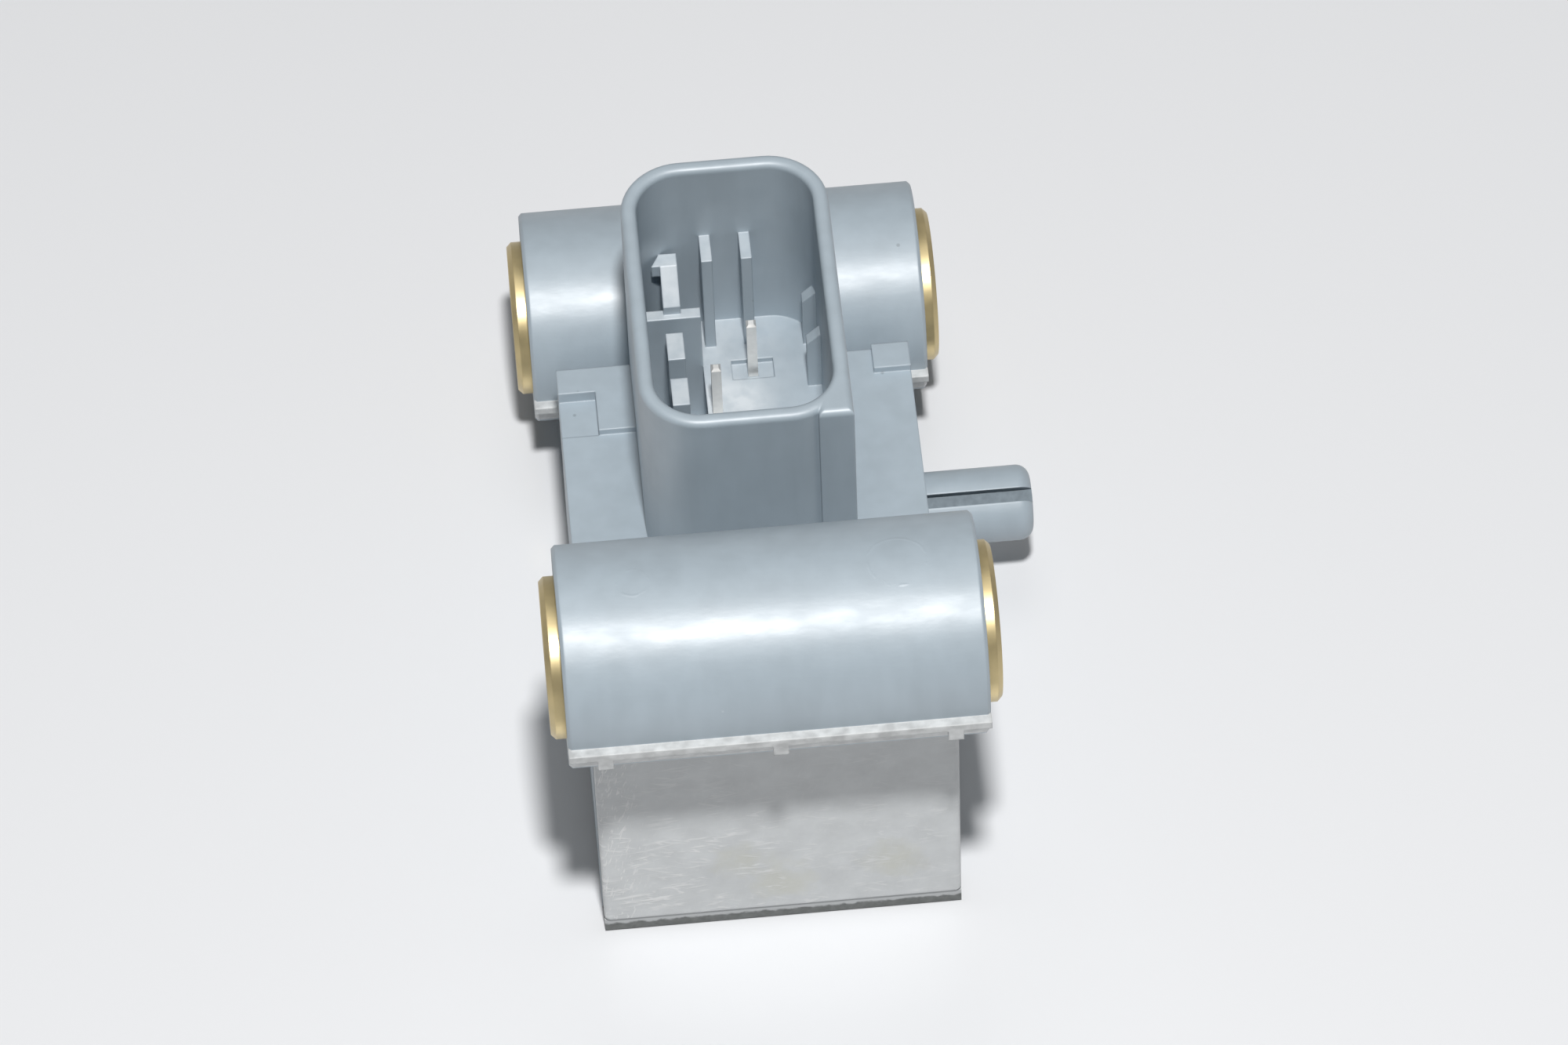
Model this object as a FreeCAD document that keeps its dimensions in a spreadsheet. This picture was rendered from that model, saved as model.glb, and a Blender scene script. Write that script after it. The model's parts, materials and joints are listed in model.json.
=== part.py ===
"""Impact sensor of a car: a moulded housing with two brass sleeves and a two-pin connector.

Frame: origin at the centre of the base, +X to the right along the barrels, +Y to the rear
barrel, +Z up. Every place called "back" below is measured from the front face of the box.
"""
import FreeCAD, Part
import math
import os
import re

import Sketcher

Vector = FreeCAD.Vector
QUARTER_TURN = math.pi / 2
TOUCH = 0.001

# Driving dimensions, millimetres
SIZES = {
    # Box that stands on the surface
    "box_width": 22.8,
    "box_depth": 33.6,
    "box_corner": 0.5,
    "flat_height": 15.0,
    # Barrels and the walls that carry them
    "barrel_length": 25.8,
    "barrel_radius": 6.85,
    "barrel_break": 0.2,
    "front_axis_back": 2.1,
    "front_axis_height": 26.45,
    "rear_axis_back": 43.3,
    "rear_axis_height": 9.4,
    "neck_depth": 8.0,
    "web_width": 20.0,
    "web_bottom": 3.0,
    "web_height": 7.0,
    # Ledge along the front of each barrel, the tabs that hold the cover and the nubs above them
    "ledge_reach": 0.6,
    "ledge_thickness": 0.6,
    "ledge_drop": 0.45,
    "tab_width": 1.0,
    "tab_pitch": 10.7,
    "tab_thickness": 0.7,
    "tab_overlap": 0.6,
    "nub_width": 0.95,
    "nub_drop": 0.85,
    # Brass sleeves
    "sleeve_length": 27.7,
    "sleeve_radius": 5.0,
    "sleeve_bore_radius": 3.3,
    "sleeve_chamfer": 0.3,
    # Connector shroud
    "shroud_width": 13.2,
    "shroud_depth": 21.6,
    "shroud_corner": 3.9,
    "shroud_wall": 1.0,
    "shroud_back": 16.5,
    "rim_height": 30.0,
    "rim_round": 0.42,
    "key_width": 2.2,
    "key_depth": 3.6,
    # Inside of the connector
    "channel_edge": 1.9,
    "channel_depth": 5.0,
    "coding_offset": 3.7,
    "coding_width": 1.1,
    "coding_length": 2.2,
    "coding_pitch": 3.75,
    "coding_back": 27.35,
    "coding_height": 5.0,
    "ramp_rise": 2.6,
    "ramp_slope": 1.9,
    "tall_length": 2.9,
    "hook_reach": 0.55,
    "hook_length": 1.0,
    "hook_drop": 1.0,
    "cross_width": 0.8,
    "guide_width": 0.7,
    "guide_reach": 2.2,
    "guide_height": 8.6,
    "stop_reach": 0.9,
    "stop_slope": 0.8,
    "stop_width": 0.8,
    "stop_back": 31.4,
    "stop_pitch": 3.5,
    # Terminals
    "pin_size": 0.64,
    "pin_pitch": 2.54,
    "pin_rise": 4.7,
    "pin_chamfer": 0.15,
    "pin_recess_width": 2.7,
    "pin_recess_length": 1.6,
    "pin_recess_depth": 0.4,
    "left_pin_back": 29.4,
    "right_pin_back": 32.8,
    "lead_height": 7.0,
    "lead_bend": 0.6,
    "lead_end": 1.2,
    # Compartment and circuit board
    "compartment_width": 19.2,
    "compartment_bottom": 2.0,
    "compartment_height": 14.4,
    "compartment_back": 6.9,
    "board_gap": 0.4,
    "board_thickness": 1.0,
    "board_back": 4.7,
    "board_hole_radius": 0.5,
    "rail_width": 1.4,
    "solder_radius": 0.95,
    "solder_tip_radius": 0.55,
    "solder_height": 0.7,
    # Cover and its seal
    "cover_inset": 0.05,
    "cover_round": 0.3,
    "cover_bottom": 1.2,
    "cover_top": 19.4,
    "cover_thickness": 1.3,
    "cover_corner": 0.4,
    "cover_gap": 0.02,
    "seal_thickness": 0.8,
    "seal_width": 1.1,
    "seal_lift": 0.1,
    "seal_setback": 0.15,
    # Locating peg
    "peg_radius": 2.45,
    "peg_reach": 7.25,
    "peg_root": 1.5,
    "peg_round": 0.9,
    "peg_back": 26.8,
    "peg_height": 6.4,
    "groove_width": 0.9,
    "groove_depth": 0.8,
    "groove_lean": 26.0,
    # Small pads at the rear of the box top
    "pad_rise": 0.5,
    "pad_length": 2.0,
    "pad_width": 2.4,
    "strip_length": 5.2,
    "recess_depth": 0.35,
    # Parts on the board
    "chip_side": 5.0,
    "chip_height": 1.8,
    "lid_height": 0.3,
    "lid_margin": 0.5,
    "driver_width": 6.0,
    "driver_depth": 4.0,
    "driver_height": 1.5,
    "driver_pitch": 1.27,
    "driver_lead_width": 0.4,
    "driver_lead_reach": 0.9,
    "driver_lead_height": 0.2,
    "diode_width": 4.3,
    "diode_depth": 2.6,
    "diode_height": 2.0,
    "capacitor_length": 2.0,
    "capacitor_width": 1.25,
    "capacitor_height": 1.2,
    "resistor_length": 1.6,
    "resistor_width": 0.8,
    "resistor_height": 0.5,
    "resistor_pitch": 2.6,
    "row_height": 1.7,
    "row_offset": 0.9,
}

# Places that several pieces share, as formulas of the sizes
FRONT = "(-box_depth / 2)"
FRONT_AXIS_Y = f"({FRONT} + front_axis_back)"
REAR_AXIS_Y = f"({FRONT} + rear_axis_back)"
SHROUD_Y = f"({FRONT} + shroud_back + shroud_depth / 2)"
CAVITY_WIDTH = "(shroud_width - 2 * shroud_wall)"
CAVITY_DEPTH = "(shroud_depth - 2 * shroud_wall)"
CAVITY_BACK_Y = f"({SHROUD_Y} + {CAVITY_DEPTH} / 2)"
REBATE_DEPTH = "(cover_thickness + seal_thickness)"
BOARD_Y = f"({FRONT} + board_back)"
BOARD_Z = "(compartment_bottom + compartment_height / 2)"
COVER_WIDTH = "(box_width - 2 * cover_inset)"
COVER_Z = "((cover_bottom + cover_top) / 2)"
COVER_HEIGHT = "(cover_top - cover_bottom)"
LEAD_TIP_Y = f"({BOARD_Y} - lead_end)"
BARRELS = {
    "front": (FRONT_AXIS_Y, "front_axis_height"),
    "rear": (REAR_AXIS_Y, "rear_axis_height"),
}
TERMINALS = {
    "left": ("(-pin_pitch / 2)", f"({FRONT} + left_pin_back)"),
    "right": ("(pin_pitch / 2)", f"({FRONT} + right_pin_back)"),
}

doc = FreeCAD.newDocument("impact_sensor")
sheet = doc.addObject("Spreadsheet::Sheet", "Sizes")
for row, (size_name, number) in enumerate(SIZES.items(), start=1):
    sheet.set(f"A{row}", size_name)
    sheet.set(f"B{row}", str(number))
    sheet.setAlias(f"B{row}", size_name)
doc.recompute()


def bind(formula):
    """The formula with every size name pointed at the sheet."""
    return re.sub(r"[a-z]+(_[a-z]+)+", r"Sizes.\g<0>", formula)


def number_of(formula):
    """The formula's value now."""
    return float(sheet.evalExpression(formula))


def new_body(label):
    """An empty body whose label names its piece."""
    body = doc.addObject("PartDesign::Body", label)
    body.Label = label
    return body


def new_sketch(body, name, plane, x="0", y="0", z="0"):
    """A sketch parallel to an origin plane of its body, with its own origin at x, y, z."""
    sketch = body.newObject("Sketcher::SketchObject", name)
    support = next(item for item in body.Origin.OriginFeatures if item.Role == f"{plane}_Plane")
    sketch.AttachmentSupport = (support, [""])
    sketch.MapMode = "FlatFace"
    places = {"XY": (x, y, z), "XZ": (x, z, f"-({y})"), "YZ": (y, z, x)}
    for axis, formula in zip("xyz", places[plane]):
        sketch.setExpression(f"AttachmentOffset.Base.{axis}", bind(formula))
    return sketch


def relate(sketch, kind, *places):
    """A constraint with no number."""
    sketch.addConstraint(Sketcher.Constraint(kind, *places))


def measure(sketch, kind, *places, size):
    """A constraint whose number follows a formula."""
    index = sketch.addConstraint(Sketcher.Constraint(kind, *places, number_of(size)))
    sketch.setExpression(f"Constraints[{index}]", bind(size))


def rectangle(sketch, width, height):
    """A rectangle centred on the sketch's origin."""
    across = number_of(width) / 2
    up = number_of(height) / 2
    corners = [Vector(-across, -up), Vector(across, -up), Vector(across, up), Vector(-across, up)]
    first = sketch.GeometryCount
    for start, end in zip(corners, corners[1:] + corners[:1]):
        sketch.addGeometry(Part.LineSegment(start, end), False)
    for side in range(4):
        relate(sketch, "Coincident", first + side, 2, first + (side + 1) % 4, 1)
        relate(sketch, "Vertical" if side % 2 else "Horizontal", first + side)
    relate(sketch, "Symmetric", first, 1, first + 2, 1, -1, 1)
    measure(sketch, "DistanceX", first, 1, first, 2, size=width)
    measure(sketch, "DistanceY", first + 1, 1, first + 1, 2, size=height)


def rounded_rectangle(sketch, width, height, radius):
    """A rectangle with round corners, centred on the sketch's origin."""
    curve = number_of(radius)
    across = number_of(width) / 2 - curve
    up = number_of(height) / 2 - curve
    centres = [Vector(across, -up), Vector(across, up), Vector(-across, up), Vector(-across, -up)]
    ends = [Vector(0, -curve), Vector(curve, 0), Vector(0, curve), Vector(-curve, 0)]
    for corner in range(4):
        start = centres[corner - 1] + ends[corner]
        end = centres[corner] + ends[corner]
        sketch.addGeometry(Part.LineSegment(start, end), False)
        whole = Part.Circle(centres[corner], Vector(0, 0, 1), curve)
        begin = (corner - 1) * QUARTER_TURN
        sketch.addGeometry(Part.ArcOfCircle(whole, begin, begin + QUARTER_TURN), False)
    for item in range(8):
        relate(sketch, "Tangent", item, 2, (item + 1) % 8, 1)
    for line in (0, 2, 4, 6):
        relate(sketch, "Vertical" if line in (2, 6) else "Horizontal", line)
    for arc in (3, 5, 7):
        relate(sketch, "Equal", 1, arc)
    relate(sketch, "Symmetric", 1, 3, 5, 3, -1, 1)
    measure(sketch, "Radius", 1, size=radius)
    measure(sketch, "DistanceX", 6, 1, 2, 1, size=width)
    measure(sketch, "DistanceY", 0, 1, 4, 1, size=height)


def corner_triangle(sketch, across, up):
    """A triangle with its right angle on the sketch's origin, one leg to the left and one up."""
    corners = [Vector(0, 0), Vector(0, number_of(up)), Vector(-number_of(across), 0)]
    for start, end in zip(corners, corners[1:] + corners[:1]):
        sketch.addGeometry(Part.LineSegment(start, end), False)
    for side in range(3):
        relate(sketch, "Coincident", side, 2, (side + 1) % 3, 1)
    relate(sketch, "Coincident", 0, 1, -1, 1)
    relate(sketch, "Vertical", 0)
    relate(sketch, "Horizontal", 2)
    measure(sketch, "DistanceY", 0, 1, 0, 2, size=up)
    measure(sketch, "DistanceX", 2, 1, 2, 2, size=across)


def circle(sketch, radius):
    """A circle about the sketch's origin."""
    index = sketch.addGeometry(Part.Circle(Vector(0, 0), Vector(0, 0, 1), number_of(radius)), False)
    relate(sketch, "Coincident", index, 3, -1, 1)
    measure(sketch, "Radius", index, size=radius)


def pad(body, sketch, length, both_ways=False, backwards=False):
    """Material along the sketch's normal."""
    feature = body.newObject("PartDesign::Pad", f"{sketch.Name}_pad")
    feature.Profile = sketch
    feature.SideType = "Symmetric" if both_ways else "One side"
    feature.Reversed = backwards
    feature.setExpression("Length", bind(length))
    return feature


def pocket(body, sketch, length, both_ways=False, backwards=False):
    """A cut against the sketch's normal, which has to take material away."""
    doc.recompute()
    before = body.Shape.Volume
    feature = body.newObject("PartDesign::Pocket", f"{sketch.Name}_pocket")
    feature.Profile = sketch
    feature.SideType = "Symmetric" if both_ways else "One side"
    feature.Reversed = backwards
    feature.setExpression("Length", bind(length))
    doc.recompute()
    if body.Shape.Volume >= before:
        raise RuntimeError(f"{sketch.Name} cuts nothing")
    return feature


def turned(body, name, y, z, length, radius, end_break):
    """A round bar along X, halfway over x = 0, with broken end edges, turned about its own axis."""
    sketch = new_sketch(body, name, "XZ", "0", y, z)
    half = number_of(length) / 2
    high = number_of(radius)
    cut = number_of(end_break)
    points = [
        Vector(half, 0),
        Vector(-half, 0),
        Vector(-half, high - cut),
        Vector(cut - half, high),
        Vector(half - cut, high),
        Vector(half, high - cut),
    ]
    for start, end in zip(points, points[1:] + points[:1]):
        sketch.addGeometry(Part.LineSegment(start, end), False)
    for line in range(6):
        relate(sketch, "Coincident", line, 2, (line + 1) % 6, 1)
    for line in (0, 3):
        relate(sketch, "Horizontal", line)
    for line in (1, 5):
        relate(sketch, "Vertical", line)
    relate(sketch, "Symmetric", 0, 1, 0, 2, -1, 1)
    measure(sketch, "DistanceX", 0, 2, 0, 1, size=length)
    measure(sketch, "DistanceY", -1, 1, 3, 1, size=radius)
    for slope, low, top in ((2, 1, 2), (4, 2, 1)):
        measure(sketch, "DistanceX", slope, 1, slope, 2, size=end_break)
        measure(sketch, "DistanceY", slope, low, slope, top, size=end_break)
    feature = body.newObject("PartDesign::Revolution", f"{name}_turned")
    feature.Profile = sketch
    feature.ReferenceAxis = (sketch, ["H_Axis"])
    feature.Angle = 360
    return feature


def dress(body, kind, name, size, wanted):
    """A fillet or chamfer on the edges of the body that the test picks."""
    doc.recompute()
    edges = body.Shape.Edges
    names = [f"Edge{place}" for place, edge in enumerate(edges, start=1) if wanted(edge)]
    base = body.Tip
    feature = body.newObject(f"PartDesign::{kind}", name)
    feature.Base = (base, names)
    feature.setExpression("Radius" if kind == "Fillet" else "Size", bind(size))
    return feature


def housing_outside(body):
    """Box, walls, barrels, ledges, tabs, shroud and peg."""
    box = new_sketch(body, "box_outline", "XY")
    rounded_rectangle(box, "box_width", "box_depth", "box_corner")
    pad(body, box, "flat_height")

    neck = new_sketch(body, "neck_outline", "XY", y=f"{FRONT} + neck_depth / 2")
    rounded_rectangle(neck, "box_width", "neck_depth", "box_corner")
    pad(body, neck, "front_axis_height")

    web = new_sketch(body, "web_outline", "XY", y=f"{REAR_AXIS_Y} / 2", z="web_bottom")
    rectangle(web, "web_width", REAR_AXIS_Y)
    pad(body, web, "web_height")

    shroud = new_sketch(body, "shroud_outline", "XY", y=SHROUD_Y, z="web_bottom")
    rounded_rectangle(shroud, "shroud_width", "shroud_depth", "shroud_corner")
    pad(body, shroud, "rim_height - web_bottom")

    key = new_sketch(
        body, "key_outline", "XY",
        x="(shroud_width - key_width) / 2",
        y=f"{FRONT} + shroud_back + key_depth / 2",
        z="web_bottom",
    )
    rectangle(key, "key_width", "key_depth")
    pad(body, key, "rim_height - web_bottom")

    for end, (axis_y, axis_z) in BARRELS.items():
        turned(body, f"{end}_barrel", axis_y, axis_z, "barrel_length", "barrel_radius", "barrel_break")
        ledge = new_sketch(
            body, f"{end}_ledge", "YZ",
            y=f"{axis_y} - (barrel_radius + ledge_reach) / 2",
            z=f"{axis_z} - ledge_drop - ledge_thickness / 2",
        )
        rectangle(ledge, "barrel_radius + ledge_reach", "ledge_thickness")
        pad(body, ledge, "barrel_length", both_ways=True)

    for place, side in enumerate((-1, 0, 1)):
        tab = new_sketch(
            body, f"tab_{place}", "XY",
            x=f"{side} * tab_pitch",
            y=f"{FRONT} - tab_thickness / 2",
            z="cover_top - tab_overlap",
        )
        rectangle(tab, "tab_width", "tab_thickness")
        pad(body, tab, "front_axis_height - barrel_radius / 2 - cover_top + tab_overlap")
        nub = new_sketch(
            body, f"nub_{place}", "YZ",
            x=f"{side} * tab_pitch",
            y=f"{FRONT_AXIS_Y} - (barrel_radius + ledge_reach) / 2",
            z="front_axis_height - ledge_drop - ledge_thickness - nub_drop / 2",
        )
        rectangle(nub, "barrel_radius + ledge_reach", "nub_drop")
        pad(body, nub, "nub_width", both_ways=True)

    peg = new_sketch(body, "peg", "YZ", "box_width / 2 - peg_root", f"{FRONT} + peg_back", "peg_height")
    circle(peg, "peg_radius")
    pad(body, peg, "peg_reach + peg_root")
    peg_end = number_of("box_width / 2 + peg_reach")
    dress(body, "Fillet", "peg_tip", "peg_round", lambda edge: abs(edge.BoundBox.XMin - peg_end) < TOUCH)

    rear_edge = f"({FRONT} + box_depth)"
    for side, name in ((-1, "left"), (1, "right")):
        rest = new_sketch(
            body, f"{name}_rest", "XY",
            x=f"{side} * (box_width - pad_width) / 2",
            y=f"{rear_edge} - pad_length / 2",
            z="flat_height / 2",
        )
        rectangle(rest, "pad_width", "pad_length")
        pad(body, rest, "flat_height / 2 + pad_rise")
    strip = new_sketch(
        body, "strip", "XY",
        x="-(box_width / 2 - pad_width + shroud_width / 2) / 2",
        y=f"{rear_edge} - strip_length / 2",
        z="flat_height / 2",
    )
    rectangle(strip, "box_width / 2 - pad_width - shroud_width / 2", "strip_length")
    pad(body, strip, "flat_height / 2 + pad_rise")
    recess = new_sketch(
        body, "rest_recess", "XY",
        x="-(box_width - pad_width) / 2",
        y=f"{rear_edge} - (strip_length + pad_length) / 2",
        z="flat_height",
    )
    rectangle(recess, "pad_width", "strip_length - pad_length")
    pocket(body, recess, "recess_depth")


def housing_connector(body):
    """The socket with its coding ribs, guide ribs and stops."""
    cavity = new_sketch(body, "cavity", "XY", y=SHROUD_Y, z="rim_height")
    rounded_rectangle(cavity, CAVITY_WIDTH, CAVITY_DEPTH, "shroud_corner - shroud_wall")
    pocket(body, cavity, "rim_height - flat_height")

    channel_width = f"({CAVITY_WIDTH} / 2 - channel_edge)"
    channel_depth = "(shroud_depth - 2 * shroud_corner)"
    channel = new_sketch(
        body, "channel", "XY",
        x=f"-(channel_edge + {channel_width} / 2)", y=SHROUD_Y, z="flat_height",
    )
    rectangle(channel, channel_width, channel_depth)
    pocket(body, channel, "channel_depth")

    rib_bottom = "(flat_height - channel_depth)"
    rib_height = "(channel_depth + coding_height)"
    for place in range(2):
        rib = new_sketch(
            body, f"coding_rib_{place}", "XY",
            x="-coding_offset",
            y=f"{FRONT} + coding_back + {place} * coding_pitch",
            z=rib_bottom,
        )
        rectangle(rib, "coding_width", "coding_length")
        pad(body, rib, rib_height)
    tall_front = f"({FRONT} + coding_back + 2 * coding_pitch - coding_length / 2)"
    tall = new_sketch(body, "tall_rib", "XY", "-coding_offset", f"{tall_front} + tall_length / 2", rib_bottom)
    rectangle(tall, "coding_width", "tall_length")
    pad(body, tall, f"{rib_height} + ramp_rise")
    ramp_top = number_of("flat_height + coding_height + ramp_rise")
    ramp_front = number_of(tall_front)

    def at_ramp(edge):
        box = edge.BoundBox
        return abs(box.ZMin - ramp_top) < TOUCH and abs(box.YMax - ramp_front) < TOUCH

    dress(body, "Chamfer", "coding_ramp", "ramp_slope", at_ramp)
    hook = new_sketch(
        body, "coding_hook", "XY",
        x="-(coding_offset + coding_width / 2)",
        y=f"{tall_front} + ramp_slope",
        z="flat_height + coding_height + ramp_rise",
    )
    corner_triangle(hook, "hook_reach", "hook_length")
    pad(body, hook, "hook_drop", backwards=True)
    cross = new_sketch(
        body, "coding_cross", "XY",
        x=f"-(channel_edge + {channel_width} / 2)",
        y=tall_front,
        z=rib_bottom,
    )
    rectangle(cross, channel_width, "cross_width")
    pad(body, cross, rib_height)

    for place, side in enumerate((-1, 1)):
        guide = new_sketch(
            body, f"guide_rib_{place}", "XY",
            x=f"{side} * pin_pitch / 2",
            y=f"{CAVITY_BACK_Y} + (shroud_wall - guide_reach) / 2",
            z="flat_height - shroud_wall",
        )
        rectangle(guide, "guide_width", "guide_reach + shroud_wall")
        pad(body, guide, "guide_height + shroud_wall")
        stop = new_sketch(
            body, f"stop_rib_{place}", "XY",
            x=f"{CAVITY_WIDTH} / 2 + (shroud_wall - stop_reach) / 2",
            y=f"{FRONT} + stop_back + {place} * stop_pitch",
            z="flat_height - shroud_wall",
        )
        rectangle(stop, "stop_reach + shroud_wall", "stop_width")
        pad(body, stop, "coding_height + shroud_wall")
    stop_top = number_of("flat_height + coding_height")
    stop_end = number_of(f"{CAVITY_WIDTH} / 2 - stop_reach")

    def at_stop(edge):
        box = edge.BoundBox
        return abs(box.ZMin - stop_top) < TOUCH and abs(box.XMax - stop_end) < TOUCH

    dress(body, "Chamfer", "stop_slopes", "stop_slope", at_stop)


def housing_inside(body):
    """Sleeve bores, the rebate of the cover, the compartment and the terminals' channels."""
    for end, (axis_y, axis_z) in BARRELS.items():
        bore = new_sketch(body, f"{end}_bore", "YZ", y=axis_y, z=axis_z)
        circle(bore, "sleeve_radius")
        pocket(body, bore, "barrel_length", both_ways=True)

    rebate = new_sketch(body, "rebate", "XZ", y=FRONT, z="(cover_top + cover_gap) / 2")
    rectangle(rebate, "box_width + 2 * cover_gap", "cover_top + cover_gap")
    pocket(body, rebate, REBATE_DEPTH)

    compartment = new_sketch(body, "compartment", "XZ", y=f"{FRONT} + {REBATE_DEPTH}", z=BOARD_Z)
    rectangle(compartment, "compartment_width", "compartment_height")
    pocket(body, compartment, f"compartment_back - {REBATE_DEPTH}")

    for place, side in enumerate((-1, 1)):
        rail = new_sketch(
            body, f"rail_{place}", "XZ",
            x=f"{side} * (compartment_width - rail_width) / 2",
            y=f"{BOARD_Y} + board_thickness",
            z=BOARD_Z,
        )
        rectangle(rail, "rail_width", "compartment_height")
        pad(body, rail, "compartment_back - board_back - board_thickness", backwards=True)

    for side, (x, y) in TERMINALS.items():
        riser = new_sketch(body, f"{side}_riser", "XY", x, y, "flat_height")
        rectangle(riser, "pin_size", "pin_size")
        pocket(body, riser, "flat_height - lead_height + pin_size / 2")
        lead = new_sketch(body, f"{side}_lead", "XZ", x, LEAD_TIP_Y, "lead_height")
        rectangle(lead, "pin_size", "pin_size")
        pocket(body, lead, f"{y} - {LEAD_TIP_Y}")
    right_x, right_y = TERMINALS["right"]
    well = new_sketch(body, "pin_recess", "XY", right_x, right_y, "flat_height")
    rectangle(well, "pin_recess_width", "pin_recess_length")
    pocket(body, well, "pin_recess_depth")

    groove_middle = "(peg_radius - groove_depth / 2)"
    groove = new_sketch(
        body, "peg_groove", "YZ",
        "box_width / 2",
        f"{FRONT} + peg_back - {groove_middle} * sin(groove_lean)",
        f"peg_height + {groove_middle} * cos(groove_lean)",
    )
    groove.setExpression("AttachmentOffset.Rotation.Angle", bind("groove_lean"))
    rectangle(groove, "groove_width", "groove_depth")
    pocket(body, groove, "peg_reach", backwards=True)


def make_housing():
    """The moulded housing."""
    body = new_body("housing")
    housing_outside(body)
    housing_connector(body)
    housing_inside(body)
    rim = number_of("rim_height")

    def on_rim(edge):
        box = edge.BoundBox
        return abs(box.ZMin - rim) < TOUCH and abs(box.ZMax - rim) < TOUCH

    dress(body, "Fillet", "rim_edges", "rim_round", on_rim)


def make_sleeve(end, axis_y, axis_z):
    """A brass compression sleeve with broken edges."""
    body = new_body(f"{end}_sleeve")
    outside = new_sketch(body, f"{end}_sleeve_outside", "YZ", y=axis_y, z=axis_z)
    circle(outside, "sleeve_radius")
    pad(body, outside, "sleeve_length", both_ways=True)
    bore = new_sketch(body, f"{end}_sleeve_bore", "YZ", y=axis_y, z=axis_z)
    circle(bore, "sleeve_bore_radius")
    pocket(body, bore, "sleeve_length", both_ways=True)
    dress(body, "Chamfer", f"{end}_sleeve_edges", "sleeve_chamfer", lambda edge: edge.isClosed())


def make_cover():
    """The plate that closes the front of the box."""
    body = new_body("front_cover")
    plate = new_sketch(body, "cover_outline", "XZ", y=FRONT, z=COVER_Z)
    rounded_rectangle(plate, COVER_WIDTH, COVER_HEIGHT, "cover_corner")
    pad(body, plate, "cover_thickness", backwards=True)
    front = number_of(FRONT)
    dress(body, "Fillet", "cover_edges", "cover_round", lambda edge: abs(edge.BoundBox.YMax - front) < TOUCH)


def make_seal():
    """The seal behind the cover, with the bead that shows under its lower edge."""
    body = new_body("cover_seal")
    frame = new_sketch(body, "seal_outline", "XZ", y=f"{FRONT} + cover_thickness", z=COVER_Z)
    rectangle(frame, COVER_WIDTH, COVER_HEIGHT)
    pad(body, frame, "seal_thickness", backwards=True)
    window = new_sketch(body, "seal_window", "XZ", y=f"{FRONT} + cover_thickness", z=COVER_Z)
    rectangle(window, f"{COVER_WIDTH} - 2 * seal_width", f"{COVER_HEIGHT} - 2 * seal_width")
    pocket(body, window, "seal_thickness")
    bead = new_sketch(
        body, "seal_bead", "XZ", y=f"{FRONT} + seal_setback", z="(cover_bottom + seal_lift) / 2",
    )
    rectangle(bead, COVER_WIDTH, "cover_bottom - seal_lift")
    pad(body, bead, f"{REBATE_DEPTH} - seal_setback", backwards=True)


def make_terminal(side, x, y):
    """An angled pin: it stands in the connector and runs forward to the board."""
    body = new_body(f"terminal_{side}")
    riser = new_sketch(body, f"terminal_{side}_riser", "XY", x, y, "lead_height - pin_size / 2")
    rectangle(riser, "pin_size", "pin_size")
    pad(body, riser, "flat_height + pin_rise - lead_height + pin_size / 2")
    lead = new_sketch(body, f"terminal_{side}_lead", "XZ", x, LEAD_TIP_Y, "lead_height")
    rectangle(lead, "pin_size", "pin_size")
    pad(body, lead, f"{y} - {LEAD_TIP_Y} + pin_size / 2", backwards=True)
    heel_y = number_of(f"{y} + pin_size / 2")
    heel_z = number_of("lead_height - pin_size / 2")
    tip_z = number_of("flat_height + pin_rise")

    def at_heel(edge):
        box = edge.BoundBox
        return abs(box.YMin - heel_y) < TOUCH and abs(box.ZMax - heel_z) < TOUCH

    dress(body, "Fillet", f"terminal_{side}_bend", "lead_bend", at_heel)
    dress(
        body, "Chamfer", f"terminal_{side}_tip", "pin_chamfer",
        lambda edge: abs(edge.BoundBox.ZMin - tip_z) < TOUCH,
    )


def make_board():
    """The circuit board, on the housing's rails."""
    body = new_body("circuit_board")
    outline = new_sketch(body, "board_outline", "XZ", y=BOARD_Y, z=BOARD_Z)
    rectangle(outline, "compartment_width - 2 * board_gap", "compartment_height - 2 * board_gap")
    pad(body, outline, "board_thickness", backwards=True)
    for side, (x, y) in TERMINALS.items():
        hole = new_sketch(body, f"board_hole_{side}", "XZ", x, BOARD_Y, "lead_height")
        circle(hole, "board_hole_radius")
        pocket(body, hole, "board_thickness")


def place(feature, x, y, z):
    """Put a primitive's own corner or centre at x, y, z."""
    for axis, formula in zip("xyz", (x, y, z)):
        feature.setExpression(f"Placement.Base.{axis}", bind(formula))


def make_solder(side, x):
    """A solder fillet round a terminal, on the front of the board."""
    cone = doc.addObject("Part::Cone", f"solder_{side}_cone")
    cone.setExpression("Radius1", bind("solder_radius"))
    cone.setExpression("Radius2", bind("solder_tip_radius"))
    cone.setExpression("Height", bind("solder_height"))
    cone.Placement.Rotation = FreeCAD.Rotation(Vector(1, 0, 0), 90)
    place(cone, x, BOARD_Y, "lead_height")
    hole = doc.addObject("Part::Box", f"solder_{side}_hole")
    for edge in ("Length", "Height"):
        hole.setExpression(edge, bind("pin_size"))
    hole.setExpression("Width", bind("solder_height"))
    place(hole, f"{x} - pin_size / 2", f"{BOARD_Y} - solder_height", "lead_height - pin_size / 2")
    joint = doc.addObject("Part::Cut", f"solder_{side}")
    joint.Label = f"solder_{side}"
    joint.Base = cone
    joint.Tool = hole


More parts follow.
